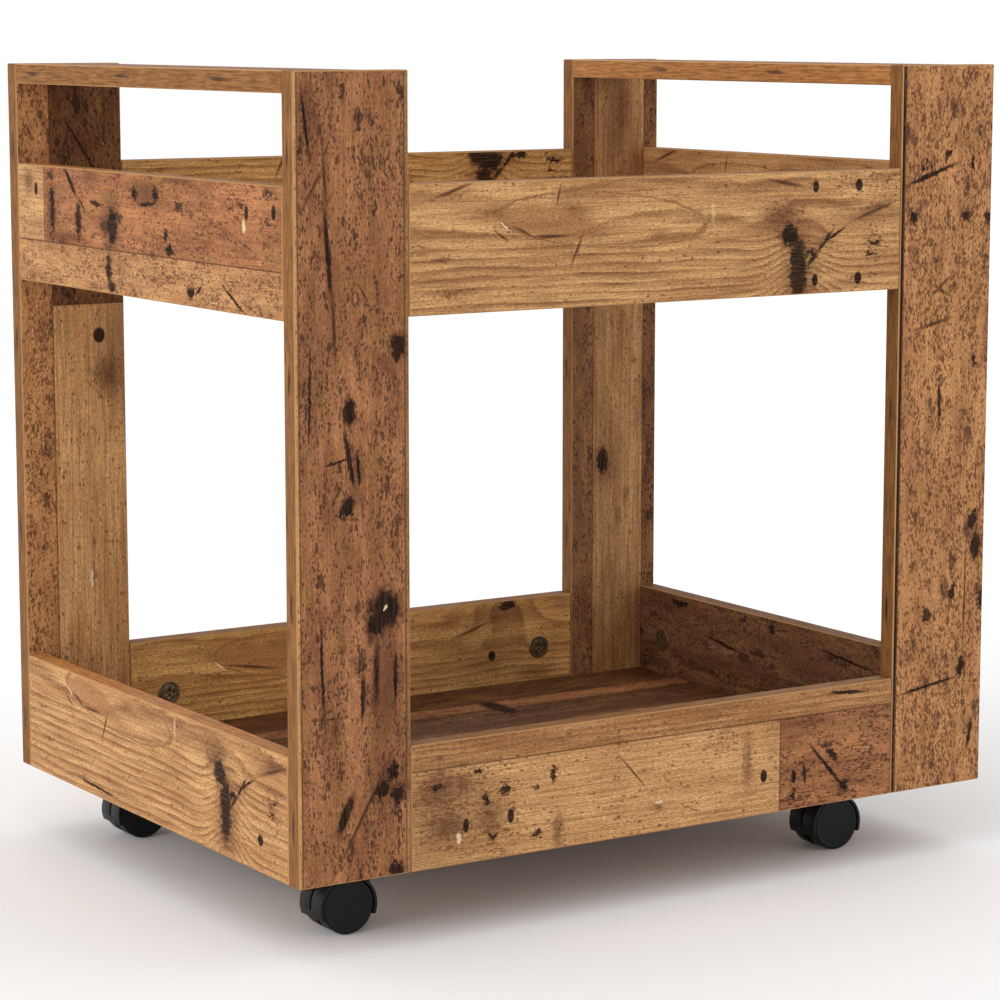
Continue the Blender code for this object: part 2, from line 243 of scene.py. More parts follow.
def design(planks, marks=(), hills=(), spacing=7.4, plateau=None, gain=1.0, band=1.0):
    """The print of one board.

    Hills are ovals that the rings bend round, and spacing is the rings' pitch. A plateau is the
    place across the board above which rings widen. gain and band are how much brighter its
    faces and its edging are than usual. On the rear boards seen inside the tray, gain above 1
    is painted light: it stands in for fill light there.
    """
    return SimpleNamespace(
        planks=planks, marks=marks, hills=hills, spacing=spacing, plateau=plateau, gain=gain,
        band=band,
    )


def pine_loop(along, across):
    """Marks and hills of pine with a long loop and one dark knot, moved by two lengths."""
    a, b = along, across
    marks = (
        ("island", a + 113, b + 60, 41, 11, -8), ("loop", a + 158, b + 60, 87, 19, -4),
        ("line", a + 82, b + 58, a + 100, b + 50, 1.2),
        ("line", a + 98, b + 50, a + 130, b + 50, 1.4), ("knot", a + 329, b + 18, 9, 27),
        ("knot", a + 321, b + 43, 9, 11, 30), ("smear", a + 330, b + 18, 17, 38),
        ("smear", a + 314, b + 55, 20, 14), ("patch", a + 318, b + 56, 26, 16),
        ("root", a + 334, b + 18, a + 350, b + 34, 2.2),
        ("crack", a + 346, b + 30, a + 360, b + 46, 1.7),
        ("crack", a + 350, b + 36, a + 372, b + 48, 1.2), ("smear", a + 350, b + 38, 12, 4),
        ("line", a + 378, b + 52, a + 421, b + 66, 1.8), ("spot", a + 340, b + 30, 5, 3),
        ("line", a + 141, b + 52, a + 130, b + 28, 1.2),
        ("line", a + 122, b + 86, a + 118, b + 70, 0.9),
        ("line", a + 68, b + 55, a + 80, b + 47, 1.0), ("smear", a + 35, b + 14, 14, 2.2),
        ("smear", a + 26, b + 37, 9, 1.6), ("patch", a + 400, b + 34, 14, 24),
        ("smear", a + 400, b + 62, 18, 4, 14), ("spot", a + 398, b + 36, 7, 1.4),
        ("spot", a + 396, b + 28, 6, 1.2), ("streak", a + 252, b + 62, 1.8, 11),
        ("chip", a + 76, b + 58, 6, 0.8, -40), ("line", a + 18, b + 78, a + 52, b + 89, 1.5),
        ("line", a + 300, b + 84, a + 334, b + 78, 1.6), ("patch", a + 385, b + 80, 40, 12),
    )
    hills = (
        (a + 113, b + 60, 50, 14, 0.9),
        (a + 300, b + 34, 36, 20, 0.8),
        (a + 331, b - 2, 26, 50, -3.4),
    )
    return marks, hills


def board_place(g, node):
    """Millimetres along and across a board, and through it, and how squarely a point faces out."""
    low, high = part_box(node)
    size = high - low
    order = sorted(range(3), key=lambda axis: -size[axis])
    texture = g.add("ShaderNodeTexCoord")
    point = g.add("ShaderNodeSeparateXYZ", {0: texture.outputs["Object"]}).outputs
    normal = g.add("ShaderNodeSeparateXYZ", {0: texture.outputs["Normal"]}).outputs
    place = []
    for number, axis in enumerate(order):
        forward = not (axis == 1 and number == 0)
        start = low[axis] if forward else high[axis]
        scale = MM_PER_M if forward else -MM_PER_M
        place.append(g.math("MULTIPLY_ADD", point[axis], scale, -start * scale))
    facing = g.math("ABSOLUTE", normal[order[2]])
    lengths = [MM_PER_M * size[axis] for axis in order]
    return place, lengths, facing


def masked_planks(g, along, across, planks):
    """For each plank after the first, 1 inside it; and a thin dark line along the joints."""
    masks, joints = [], []
    for one in planks[1:]:
        inside = []
        for value, (low, high) in ((along, one.along), (across, one.across)):
            middle, half = (low + high) / 2, (high - low) / 2
            offset = g.math("SUBTRACT", value, middle)
            distance = g.math("ABSOLUTE", offset)
            inside.append(g.math("SUBTRACT", half, distance))
        depth = g.math("MINIMUM", *inside)
        masks.append(g.step(depth, -0.3, 0.3))
        edge = g.math("ABSOLUTE", depth)
        joints.append(g.step(edge, 0.9, 0.25))
    return masks, g.largest(joints)


def blended(planks, masks, name, mixer):
    """What the kinds of plank say under name, as it is at each place of the board."""
    value = getattr(planks[0].kind, name)
    for one, mask in zip(planks[1:], masks):
        value = mixer(mask, value, getattr(one.kind, name))
    return value


def ring_lines(g, flat, across, plan):
    """Dark late-wood lines of the growth rings: 0 to 1, rising slowly and ending sharply."""
    drift = g.noise(flat, (130.0, 30.0, 1.0), detail=2.0, roughness=0.4)
    drift_fine = g.noise(flat, (22.0, 3.0, 1.0), detail=2.0)
    height = g.math("DIVIDE", across, plan.spacing)
    if plan.plateau is not None:
        over = g.math("SUBTRACT", across, plan.plateau)
        over = g.math("MAXIMUM", over, 0.0)
        height = g.math("MULTIPLY_ADD", over, -0.72 / plan.spacing, height)
    height = g.math("MULTIPLY_ADD", drift, 1.7, height)
    for hill_along, hill_across, half_length, half_width, rise in plan.hills:
        away = g.oval(flat, hill_along, hill_across, half_length, half_width)
        squared = g.math("MULTIPLY", away, away)
        swell = g.math("EXPONENT", g.math("MULTIPLY", squared, -1.0))
        height = g.math("MULTIPLY_ADD", swell, rise, height)
    phase = g.math("FRACT", g.math("MULTIPLY_ADD", drift_fine, 0.35, height))
    rising = g.math("POWER", phase, 1.6)
    ending = g.step(phase, 1.0, 0.80)
    vary = g.noise(flat, (70.0, 7.0, 1.0), detail=2.0)
    ending = g.math("MULTIPLY", ending, g.step(vary, 0.36, 0.62, 0.5, 1.15))
    return g.math("MULTIPLY", rising, ending)


def mark_masks(g, places, marks):
    """The masks of each thing that the marks change. places are flat, stirred and ragged."""
    masks = dict.fromkeys(("stain", "specks", "chip", "island", "shade", "loop"), 0.0)
    for kind, *numbers in marks:
        changes, soft, strength, stir = MARKS[kind]
        away = g.oval(places[stir], *mark_oval(kind, numbers))
        if kind == "loop":
            line = g.math("ABSOLUTE", g.math("SUBTRACT", away, 1.0))
            mask = g.step(line, 1.3 / numbers[3], 0.0, 0.0, strength)
        else:
            tail = 0.8 if changes == "stain" else 0.25
            inner = max(0.0, 1.0 - soft)
            mask = g.step(away, 1.0 + soft * tail, inner, 0.0, strength)
        # A board with more than about 50 marks can come out black, so none has more.
        join = "ADD" if changes == "specks" else "MAXIMUM"
        masks[changes] = g.math(join, masks[changes], mask)
    return masks


def face_colour(g, plan, place, seed):
    """Colour of a board's two large faces, its fibres, and what lies deeper, for the relief."""
    along, across = place[0], place[1]
    flat = g.add("ShaderNodeCombineXYZ", {0: along, 1: across, 2: seed}).outputs[0]
    stir = g.noise(flat, (5.0, 4.0, 1.0), detail=4.0, roughness=0.75, output="Color")
    stir = g.vector("SUBTRACT", stir, (0.5, 0.5, 0.5))
    stirred = g.vector("MULTIPLY_ADD", stir, (6.0, 5.0, 0.0), flat)
    ragged = g.vector("MULTIPLY_ADD", stir, (20.0, 15.0, 0.0), flat)
    masks, joint = masked_planks(g, along, across, plan.planks)
    changes = mark_masks(g, (flat, stirred, ragged), plan.marks)

    tone = g.noise(flat, (90.0, 18.0, 1.0), detail=5.0, roughness=0.65)
    tone = g.step(tone, 0.36, 0.64)
    light = blended(plan.planks, masks, "light", g.mix)
    deep = blended(plan.planks, masks, "deep", g.mix)
    colour = g.mix(tone, deep, light)

    worn = blended(plan.planks, masks, "worn", g.between)
    tint = g.noise(flat, (30.0, 13.0, 1.0), detail=3.0, roughness=0.6, output="Color")
    hues = g.add("ShaderNodeSeparateXYZ", {0: tint}).outputs
    olive = g.step(hues[0], 0.50, 0.64, 0.0, 0.55)
    colour = g.mix(g.math("MULTIPLY", olive, worn), colour, OLIVE)
    plum = g.step(hues[1], 0.52, 0.66, 0.0, 0.5)
    colour = g.mix(g.math("MULTIPLY", plum, worn), colour, PLUM)

    fibre = g.noise(flat, (30.0, 0.8, 1.0), detail=3.0, roughness=0.7)
    fibre_amount = blended(plan.planks, masks, "fibre", g.between)
    fibre_dark = g.step(fibre, 0.54, 0.36)
    fibre_dark = g.math("MULTIPLY", fibre_dark, fibre_amount)
    colour = g.mix(g.math("MULTIPLY", fibre_dark, 0.55), colour, FIBRE)

    streak = g.noise(flat, (75.0, 2.2, 1.0), detail=2.0, roughness=0.6)
    streak = g.math("MULTIPLY", g.step(streak, 0.50, 0.34), fibre_amount)
    colour = g.mix(g.math("MULTIPLY", streak, 0.5), colour, FIBRE)

    rings = ring_lines(g, flat, across, plan)
    ring_amount = blended(plan.planks, masks, "rings", g.between)
    rings = g.math("MULTIPLY", rings, ring_amount)
    rings = g.math("MAXIMUM", rings, changes["loop"])
    colour = g.mix(rings, colour, RING)

    colour = g.mix(g.math("MULTIPLY", changes["island"], 0.9), colour, ISLAND)
    colour = g.mix(g.math("MULTIPLY", changes["shade"], 0.5), colour, SHADE)

    blot = g.noise(flat, (15.0, 9.0, 1.0), detail=5.0, roughness=0.75)
    blot = g.math("MULTIPLY", g.step(blot, 0.54, 0.66, 0.0, 0.32), worn)
    colour = g.mix(blot, colour, HALO)

    grits = g.noise(flat, (6.0, 3.0, 1.0), detail=5.0, roughness=0.82, output="Color")
    grit, dab, glint = g.add("ShaderNodeSeparateXYZ", {0: grits}).outputs
    dabs = g.math("MULTIPLY", g.step(dab, 0.54, 0.62, 0.0, 0.55), worn)
    colour = g.mix(dabs, colour, DAB)
    glints = g.math("MULTIPLY", g.step(glint, 0.60, 0.70, 0.0, 0.45), worn)
    colour = g.mix(glints, colour, CHIP)
    amount = blended(plan.planks, masks, "specks", g.between)
    amount = g.math("MULTIPLY", amount, g.step(hues[2], 0.40, 0.58, 0.25, 1.5))
    amount = g.math("ADD", amount, changes["specks"])
    shaken = g.vector("MULTIPLY_ADD", stir, (7.0, 4.0, 0.0), flat)
    fine = g.flecks(shaken, (3.6, 1.7, 1.0), g.math("MULTIPLY", amount, 1.4), dab)
    coarse = g.flecks(shaken, (7.6, 2.9, 1.0), g.math("MULTIPLY_ADD", amount, 0.50, -0.07), glint)
    specks = g.math("MAXIMUM", fine, coarse)
    fleck = blended(plan.planks, masks, "fleck", g.mix)
    colour = g.mix(g.math("MULTIPLY", specks, 0.8), colour, fleck)
    plums = g.flecks(ragged, (19.0, 7.0, 1.0), g.math("MULTIPLY", amount, 0.27), grit)
    colour = g.mix(g.math("MULTIPLY", plums, worn), colour, FLECK)

    stain = changes["stain"]
    colour = g.mix(g.step(stain, 0.02, 0.5, 0.0, 0.62), colour, HALO)
    soaked = g.math("MULTIPLY", g.step(stain, 0.4, 0.8), g.step(fibre, 0.36, 0.54, 0.6, 0.97))
    colour = g.mix(soaked, colour, STAIN)
    colour = g.mix(changes["chip"], colour, CHIP)
    colour = g.mix(g.math("MULTIPLY", joint, 0.75), colour, SEAM)
    grain = g.noise(flat, (3.0, 0.9, 1.0), detail=2.0, roughness=0.8)
    # plan.gain scales the face colour; on the rear boards inside the tray it is partly painted
    # fill light.
    gain = g.step(grain, 0.36, 0.64, 0.70 * plan.gain, 1.24 * plan.gain)
    gain = g.add("ShaderNodeCombineXYZ", {0: gain, 1: gain, 2: gain}).outputs[0]
    colour = g.vector("MULTIPLY", colour, gain)
    relief = g.math("MAXIMUM", stain, g.math("MULTIPLY", joint, 0.8))
    return colour, fibre, relief


def border(g, place, lengths):
    """How far a point of a face is from the face's nearest side."""
    depths = []
    for value, length in zip(place[:2], lengths[:2]):
        offset = g.math("SUBTRACT", value, length / 2)
        depths.append(g.math("SUBTRACT", length / 2, g.math("ABSOLUTE", offset)))
    return g.math("MINIMUM", *depths)


def edging_colour(g, place, seed, gain):
    """Colour of the edging on a board's narrow sides: brown with long dark dashes."""
    turned = g.math("ADD", place[1], place[2])
    flat = g.add("ShaderNodeCombineXYZ", {0: place[0], 1: turned, 2: seed + 40.0}).outputs[0]
    streak = g.noise(flat, (26.0, 1.3, 1.0), detail=4.0, roughness=0.7)
    colour = g.mix(g.step(streak, 0.60, 0.38), BAND, BAND_DEEP)
    patch = g.noise(flat, (14.0, 4.0, 1.0), detail=3.0, roughness=0.7)
    colour = g.mix(g.step(patch, 0.52, 0.36, 0.0, 0.45), colour, HALO)
    repeat = g.math("MODULO", g.math("ADD", place[0], 3.0 * seed), PRINT_REPEAT)
    repeat = g.add("ShaderNodeCombineXYZ", {0: repeat, 1: turned}).outputs[0]
    rough = g.math("MULTIPLY", g.math("SUBTRACT", streak, 0.5), 3.0)
    dash = g.math("ADD", g.oval(repeat, 52.0, 8.0, 11.0, 1.6), rough)
    colour = g.mix(g.step(dash, 1.3, 0.5, 0.0, 0.8), colour, FLECK)
    colour = g.mix(g.step(streak, 0.36, 0.28, 0.0, 0.3), colour, FLECK)
    return g.vector("MULTIPLY", colour, (gain, gain, gain))


def board_material(node, plan, seed):
    g = Graph(f"wood_{node}")
    place, lengths, facing = board_place(g, node)
    colour, fibre, relief = face_colour(g, plan, place, seed)
    edging = edging_colour(g, place, seed, plan.band)
    rim = border(g, place, lengths)
    # Pale line along each face's sides: partly the edge band's own pale edge, partly a painted
    # highlight.
    colour = g.mix(g.step(rim, 0.8, 0.4, 0.0, 0.5), colour, ARRIS_HIGHLIGHT)
    face = g.step(facing, 0.76, 0.9)
    colour = g.mix(face, edging, colour)
    # Chamfers between faces and edging get a painted highlight.
    arris_highlight = g.math("MULTIPLY", g.step(facing, 0.2, 0.5), g.step(facing, 0.9, 0.76))
    colour = g.mix(g.math("MULTIPLY", arris_highlight, 0.7), colour, ARRIS_HIGHLIGHT)
    g.feed(g.shader.inputs["Base Color"], colour)
    rough = g.step(fibre, 0.3, 0.7, 0.62, 0.50)
    g.feed(g.shader.inputs["Roughness"], g.math("MULTIPLY_ADD", relief, 0.15, rough))
    g.shader.inputs["Specular IOR Level"].default_value = WOOD_SPECULAR
    hollow = g.math("MULTIPLY", g.math("MULTIPLY", relief, face), -0.55)
    height = g.math("MULTIPLY_ADD", fibre, 0.25, hollow)
    g.feed(g.shader.inputs["Normal"], g.bump(height, 0.35, WOOD_RELIEF))
    return g.material


def repaint(node, material):
    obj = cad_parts[node]
    if not obj.material_slots:
        obj.data.materials.append(material)
    for slot in obj.material_slots:
        slot.link = "OBJECT"
        slot.material = material


LOOP_MARKS, LOOP_HILLS = pine_loop(0, 0)
HIGH_MARKS, HIGH_HILLS = pine_loop(0, 16)
TOP_MARKS, TOP_HILLS = pine_loop(6, 44)

DESIGNS = {
    "post_front_left": design(
        [
            plank(RED_WORN),
            # Pale strip along the post's left edge: a painted highlight of the rounded corner,
            # partly the edge band's own pale colour.
            plank(PALE, across=(-20, 2.8)),
            plank(GREY_HONEY, across=(84.4, 120)),
        ],
        (
            ("line", 3, 26, 96, 79, 1.5), ("crack", 33, 30, 62, 43, 4.2),
            ("spot", 62, 65, 8, 6, 30), ("spot", 73, 74, 9, 4), ("spot", 57, 77, 8, 5),
            ("smear", 66, 70, 18, 13), ("spot", 4, 76, 7, 7), ("patch", 62, 70, 30, 18),
            ("patch", 110, 24, 34, 14), ("line", 115, 12, 115, 38, 0.8),
            ("crack", 116, 20, 184, 18, 1.2), ("smear", 106, 28, 10, 4),
            ("crack", 110, 50, 144, 51, 1.8), ("knot", 186, 68, 15, 14),
            ("spot", 176, 60, 10, 6, -30), ("root", 172, 62, 112, 60, 3.0),
            ("smear", 140, 72, 34, 7), ("crack", 158, 76, 118, 76, 1.6),
            ("chip", 187, 68, 3.0, 1.1, 30), ("spot", 258, 39, 9, 5.5, 25),
            ("crack", 287, 22, 291, 41, 1.2), ("crack", 268, 45, 312, 37, 2.2),
            ("crack", 270, 49, 296, 47, 1.6), ("smear", 280, 47, 24, 6),
            ("knot", 322, 41, 10, 5.5), ("knot", 364, 79, 11, 7), ("smear", 336, 78, 18, 4),
            ("smear", 350, 70, 14, 5, -35), ("line", 392, 58, 408, 48, 0.9),
            ("shade", 345, 12, 84, 13), ("crack", 300, 10, 372, 12, 1.0),
            ("line", 350, 31, 400, 29, 1.4), ("line", 364, 30, 408, 29, 1.4),
            ("crack", 396, 28, 462, 23, 2.2), ("line", 450, 25, 504, 22, 1.6),
            ("smear", 462, 24, 36, 3), ("line", 456, 6, 486, 23, 1.1),
            ("crack", 492, 12, 540, 6, 1.4), ("smear", 520, 12, 28, 7),
            ("patch", 515, 14, 34, 12), ("patch", 480, 58, 22, 24), ("shade", 120, 70, 64, 20),
            ("patch", 250, 74, 90, 12),
        ),
    ),
    "post_front_right": design(
        [plank(CORK), plank(DARK, across=(-20, 3.6))],
        (
            ("crack", -150, 1.4, 700, 1.4, 2.2), ("crack", 75, 4, 84, 66, 1.4),
            ("knot", 92, 67, 8, 4, 10), ("spot", 134, 32, 6, 4), ("smear", 102, 18, 5, 3),
            ("patch", 146, 55, 20, 9), ("spot", 150, 57, 10, 2.4, 15),
            ("line", 96, 69, 192, 70, 0.9), ("patch", 192, 77, 26, 13), ("knot", 184, 80, 12, 6),
            ("spot", 204, 76, 8, 5), ("crack", 26, 75, 48, 79, 2.0), ("spot", 142, 86, 9, 3),
            ("patch", 70, 40, 80, 50), ("patch", 228, 43, 14, 7),
            ("crack", 280, 41, 312, 40, 1.6), ("spot", 326, 74, 6, 2.6, -20),
            ("line", 352, 16, 360, 52, 1.6), ("line", 376, 30, 392, 50, 1.4),
            ("line", 376, 50, 386, 30, 1.2), ("crack", 459, 3, 476, 56, 2.0),
            ("spot", 473, 20, 6, 1.2), ("spot", 475, 25, 6, 1.2), ("spot", 474, 30, 5, 1.1),
            ("spot", 482, 45, 4, 3, 30), ("spot", 436, 63, 4.6, 4.2), ("spot", 436, 13, 5, 4),
            ("spot", 475, 69, 6, 2.2), ("spot", 434, 85, 6, 4), ("smear", 340, 86, 30, 2),
            ("line", 530, 59, 548, 70, 1.0), ("line", 549, 66, 484, 35, 0.7),
            ("patch", 445, 20, 90, 20), ("patch", 440, 74, 90, 16),
        ),
        gain=1.02, band=0.85,
    ),
    "long_rail_upper_front": design(
        [plank(HONEY)],
        (
            *LOOP_MARKS,
            ("hole", 344, 78, 2.8, 4.6), ("hole", 384, 78, 3.2, 4.6), ("hole", 344, 10, 2.8, 4.6),
            ("hole", 384, 10, 3.4, 4.6), ("smear", 379, 79, 5, 2), ("smear", 340, 80, 5, 2),
            ("smear", 378, 10, 5, 2), ("patch", 410, 74, 16, 12),
        ),
        LOOP_HILLS, spacing=6.2, plateau=44,
    ),
    "long_rail_lower_front": design(
        [
            plank(PALE),
            plank(RED_WORN, along=(318, 500), across=(-9, 70)),
            plank(STRIP, across=(70, 120)),
        ],
        (
            ("hole", 44, 27, 2.5, 5.2), ("hole", 81, 29, 2.8, 5.2), ("hole", 303, 29, 3.0, 4.8),
            ("hole", 331, 25, 2.4, 5.2), ("spot", 77, 48, 5, 4), ("spot", 102, 47, 2.2, 2.6),
            ("spot", 103, 13, 5, 2.6), ("spot", 117, 55, 2.4, 6), ("smear", 80, 38, 6, 2),
            ("patch", 20, 58, 22, 16), ("smear", 22, 56, 20, 12), ("spot", 60, 44, 3, 6, 30),
            ("spot", 66, 16, 3, 3), ("smear", 64, 30, 12, 12), ("patch", 46, 40, 50, 36),
            ("spot", 54, 66, 4, 2), ("smear", 41, 57, 8, 9), ("spot", 20, 57, 6, 3),
            ("smear", 30, 28, 18, 8), ("patch", 26, 32, 24, 16), ("patch", 74, 10, 22, 12),
            ("shade", 24, 36, 60, 46), ("smear", 121, 12, 5, 16), ("chip", 38, 19, 2.2, 5),
            ("chip", 209, 22, 4, 1.2), ("smear", 208, 18, 6, 4), ("line", 172, 62, 198, 33, 0.8),
            ("patch", 268, 60, 24, 10), ("smear", 288, 42, 5, 22),
            ("crack", 343, 50, 386, 3, 1.5), ("spot", 367, 38, 8, 3.4, -48),
            ("spot", 331, 12, 2.6, 6), ("crack", 340, 34, 342, 18, 1.6), ("spot", 378, 12, 5, 6),
            ("patch", 408, 42, 20, 30), ("smear", 340, 66, 28, 4), ("patch", 344, 8, 16, 8),
            ("crack", 362, 85, 398, 82, 1.5),
        ),
        spacing=5.0, gain=1.07, band=1.12,
    ),
    "side_rail_upper_left": design(
        [
            plank(PURPLE_WORN),
            plank(PALE, along=(-20, 47), across=(32, 120)),
            plank(SPECKLED, across=(-20, 32)),
        ],
        (
            ("hole", 33, 71, 3, 5), ("smear", 20, 76, 9, 10), ("spot", 61, 68, 4, 7),
            ("knot", 62, 56, 4, 20), ("knot", 107, 50, 5, 16), ("smear", 160, 52, 16, 22),
            ("smear", 218, 74, 24, 12), ("hole", 370, 69, 2.6, 5), ("hole", 408, 71, 3, 5.2),
            ("chip", 366, 60, 2.6, 5.5), ("crack", 84, 89, 104, 68, 2.8),
            ("line", 104, 70, 122, 56, 1.6), ("spot", 164, 49, 9, 15), ("patch", 160, 50, 20, 20),
            ("patch", 58, 52, 14, 24), ("smear", 60, 56, 12, 22), ("patch", 84, 38, 32, 7),
            ("smear", 88, 37, 34, 5), ("patch", 110, 46, 14, 16), ("smear", 128, 84, 14, 6),
            ("spot", 201, 75, 5, 6), ("spot", 234, 75, 5, 6), ("crack", 206, 67, 236, 69, 1.8),
            ("crack", 126, 66, 146, 63, 2.0), ("spot", 255, 37, 7, 4), ("spot", 250, 47, 3, 5),
            ("patch", 310, 56, 14, 24), ("patch", 346, 76, 16, 10), ("patch", 214, 38, 60, 6),
            ("smear", 270, 87, 26, 3), ("spot", 157, 18, 4, 11), ("patch", 180, 8, 20, 10),
            ("spot", 162, 6, 7, 4), ("spot", 287, 10, 6, 5), ("crack", 294, 9, 304, 15, 1.4),
            ("smear", 25, 3, 7, 4), ("crack", 334, 18, 368, 0, 1.2), ("patch", 125, 18, 30, 12),
        ),
        spacing=5.0, band=1.6,
    ),
    "side_rail_lower_left": design(
        [plank(HONEY)],
        (
            *HIGH_MARKS,
            ("hole", 380, 23, 4, 4), ("crack", 90, 9, 152, 6, 1.3),
        ),
        HIGH_HILLS, spacing=6.2, plateau=60, gain=1.08, band=2.1,
    ),
    "post_rear_left": design(
        [
            plank(PALE),
            plank(CORK, across=(-20, 27)),
            plank(DARK, along=(362, 700), across=(27, 120)),
        ],
        (
            ("hole", 337, 66, 6, 5), ("patch", 304, 72, 18, 16), ("shade", 316, 80, 56, 26),
            ("smear", 306, 72, 16, 13), ("smear", 300, 74, 6, 14), ("chip", 145, 56, 9, 1.6),
            ("smear", 146, 58, 10, 3), ("crack", 508, 38, 458, 70, 1.1),
            ("line", 470, 34, 500, 44, 0.9), ("smear", 486, 56, 12, 12),
            ("smear", 514, 34, 12, 6), ("patch", 490, 55, 30, 24), ("patch", 190, 14, 24, 10),
        ),
        # gain: painted light, the face brightened for fill light inside the tray.
        spacing=8.0, gain=1.2, band=0.9,
    ),
    "post_rear_right": design(
        [
            plank(GREY_HONEY),
            plank(BROWN_WORN, across=(-20, 22)),
            plank(DARK, across=(74, 120)),
        ],
        (
            ("spot", 203, 32, 13, 7), ("smear", 198, 32, 22, 12), ("patch", 74, 12, 16, 10),
            ("smear", 500, 50, 30, 12),
        ),
        # gain: painted light, the face brightened for fill light inside the tray.
        spacing=9.0, gain=1.4, band=0.85,
    ),
    "long_rail_lower_rear": design(
        [
            plank(OLIVE_HONEY),
            plank(STRIP, across=(-20, 16)),
        ],
        (
            ("island", 117, 64, 41, 11, -8), ("loop", 162, 64, 87, 19, -4),
            ("chip", 80, 62, 6, 0.8, -40), ("line", 86, 62, 134, 54, 1.3),
            ("hole", 342, 42, 3.6, 4.6), ("smear", 350, 78, 34, 12), ("knot", 358, 85, 10, 5),
            ("line", 300, 60, 346, 74, 1.6), ("smear", 386, 24, 22, 6),
            ("shade", 330, 40, 110, 50),
        ),
        ((117, 64, 50, 14, 0.9), (356, 92, 34, 40, -2.6)),
        # gain: painted light, the face brightened for fill light inside the tray.
        spacing=6.0, plateau=50, gain=1.55,
    ),
    "long_rail_upper_rear": design(
        [plank(OLIVE_HONEY)],
        (*TOP_MARKS, ("knot", 341, 82, 14, 9), ("spot", 372, 86, 6, 3)),
        # gain: painted light, the face brightened for fill light inside the tray.
        TOP_HILLS, spacing=6.0, plateau=92, gain=1.22,
    ),
    "side_rail_lower_right": design(
        [plank(DARK), plank(BROWN_WORN, across=(40, 120))],
        (
            ("smear", 120, 40, 110, 8), ("smear", 60, 78, 60, 7), ("spot", 60, 82, 14, 3),
            ("spot", 190, 80, 5, 5), ("crack", 96, 60, 150, 52, 1.6), ("smear", 240, 56, 50, 10),
            ("crack", 250, 74, 330, 66, 1.4), ("patch", 150, 60, 150, 40),
            ("patch", 320, 40, 90, 50),
        ),
        spacing=7.0, gain=0.95, band=0.8,
    ),
    "side_rail_upper_right": design(
        [plank(HONEY), plank(PURPLE_WORN, along=(150, 500), across=(-20, 30))],
        LOOP_MARKS, LOOP_HILLS, spacing=5.0, plateau=46, band=1.6,
    ),
    "handle_left": design([plank(RED_WORN)], (("patch", 120, 30, 60, 20),), band=1.08),
    "handle_right": design([plank(RED_WORN)], (("patch", 280, 30, 60, 20),), band=1.6),
    "shelf_lower": design(
        [
            plank(DARK),
            plank(GREY_HONEY, across=(96, 182)),
            plank(STRIP, across=(-20, 96)),
            plank(RED_WORN, across=(338, 364)),
        ],
        (
            ("smear", 400, 290, 190, 9), ("smear", 120, 316, 90, 7), ("smear", 180, 380, 60, 20),
            ("smear", 330, 404, 160, 8), ("crack", 240, 262, 420, 258, 2.0),
            ("crack", 80, 228, 260, 234, 1.8), ("crack", 300, 206, 520, 212, 1.6),
            ("spot", 372, 342, 10, 30), ("patch", 300, 320, 160, 50),
        ),
        spacing=11.0,
    ),
    "shelf_upper": design(
        [
            plank(STRIP),
            plank(RED_WORN, across=(88, 176)),
            plank(HONEY, across=(264, 352)),
        ],
        (
            ("spot", 160, 130, 12, 9), ("patch", 380, 130, 80, 30),
            ("crack", 400, 200, 470, 214, 1.6),
        ),
        spacing=9.0,
    ),
}

for number, (name, plan) in enumerate(DESIGNS.items()):
    repaint(name, board_material(name, plan, 17.0 * number + 3.0))


# Meshes


def new_object(name, mesh, smooth_angle=35.0):
    obj = bpy.data.objects.new(name, mesh)
    bpy.context.scene.collection.objects.link(obj)
    if smooth_angle:
        mesh.shade_smooth()
        mesh.set_sharp_from_angle(angle=math.radians(smooth_angle))
    return obj


def mesh_of(name, bm):
    mesh = bpy.data.meshes.new(name)
    bmesh.ops.recalc_face_normals(bm, faces=bm.faces)
    bm.to_mesh(mesh)
    bm.free()
    return mesh


def lathe(name, profile, sides):
    """A closed body turned about Z, from (radius, height) points from axis to axis."""
    bm = bmesh.new()
    rings = []
    for radius, height in profile:
        if radius < 1e-7:
            rings.append([bm.verts.new((0, 0, height))])
            continue
        ring = []
        for step in range(sides):
            angle = 2 * math.pi * step / sides
            ring.append(bm.verts.new((radius * math.cos(angle), radius * math.sin(angle), height)))
        rings.append(ring)
    for lower, upper in zip(rings, rings[1:]):
        for step in range(sides):
            after = (step + 1) % sides
            corners = (
                lower[step % len(lower)],
                lower[after % len(lower)],
                upper[after % len(upper)],
                upper[step % len(upper)],
            )
            bm.faces.new(list(dict.fromkeys(corners)))
    return mesh_of(name, bm)


def rounded(points, radius, segments=4):
    """A (radius, height) profile with its inner corners rounded."""
    result = [points[0]]
    for before, at, after in zip(points, points[1:], points[2:]):
        corner = Vector(at)
        back, on = Vector(before) - corner, Vector(after) - corner
        reach = min(radius, back.length * 0.45, on.length * 0.45)
        start, end = corner + back.normalized() * reach, corner + on.normalized() * reach
        for step in range(segments + 1):
            share = step / segments
            low = start.lerp(corner, share)
            high = corner.lerp(end, share)
            result.append(tuple(low.lerp(high, share)))
    result.append(points[-1])
    return result


def box(name, low, high):
    bm = bmesh.new()
    bmesh.ops.create_cube(bm, size=1.0)
    size = Vector(high) - Vector(low)
    middle = (Vector(high) + Vector(low)) / 2
    for vert in bm.verts:
        vert.co = Vector(a * b for a, b in zip(vert.co, size)) + middle
    return mesh_of(name, bm)


def cylinder(name, radius, low, high, sides):
    profile = [(0, low), (radius, low), (radius, high), (0, high)]
    return lathe(name, profile, sides)


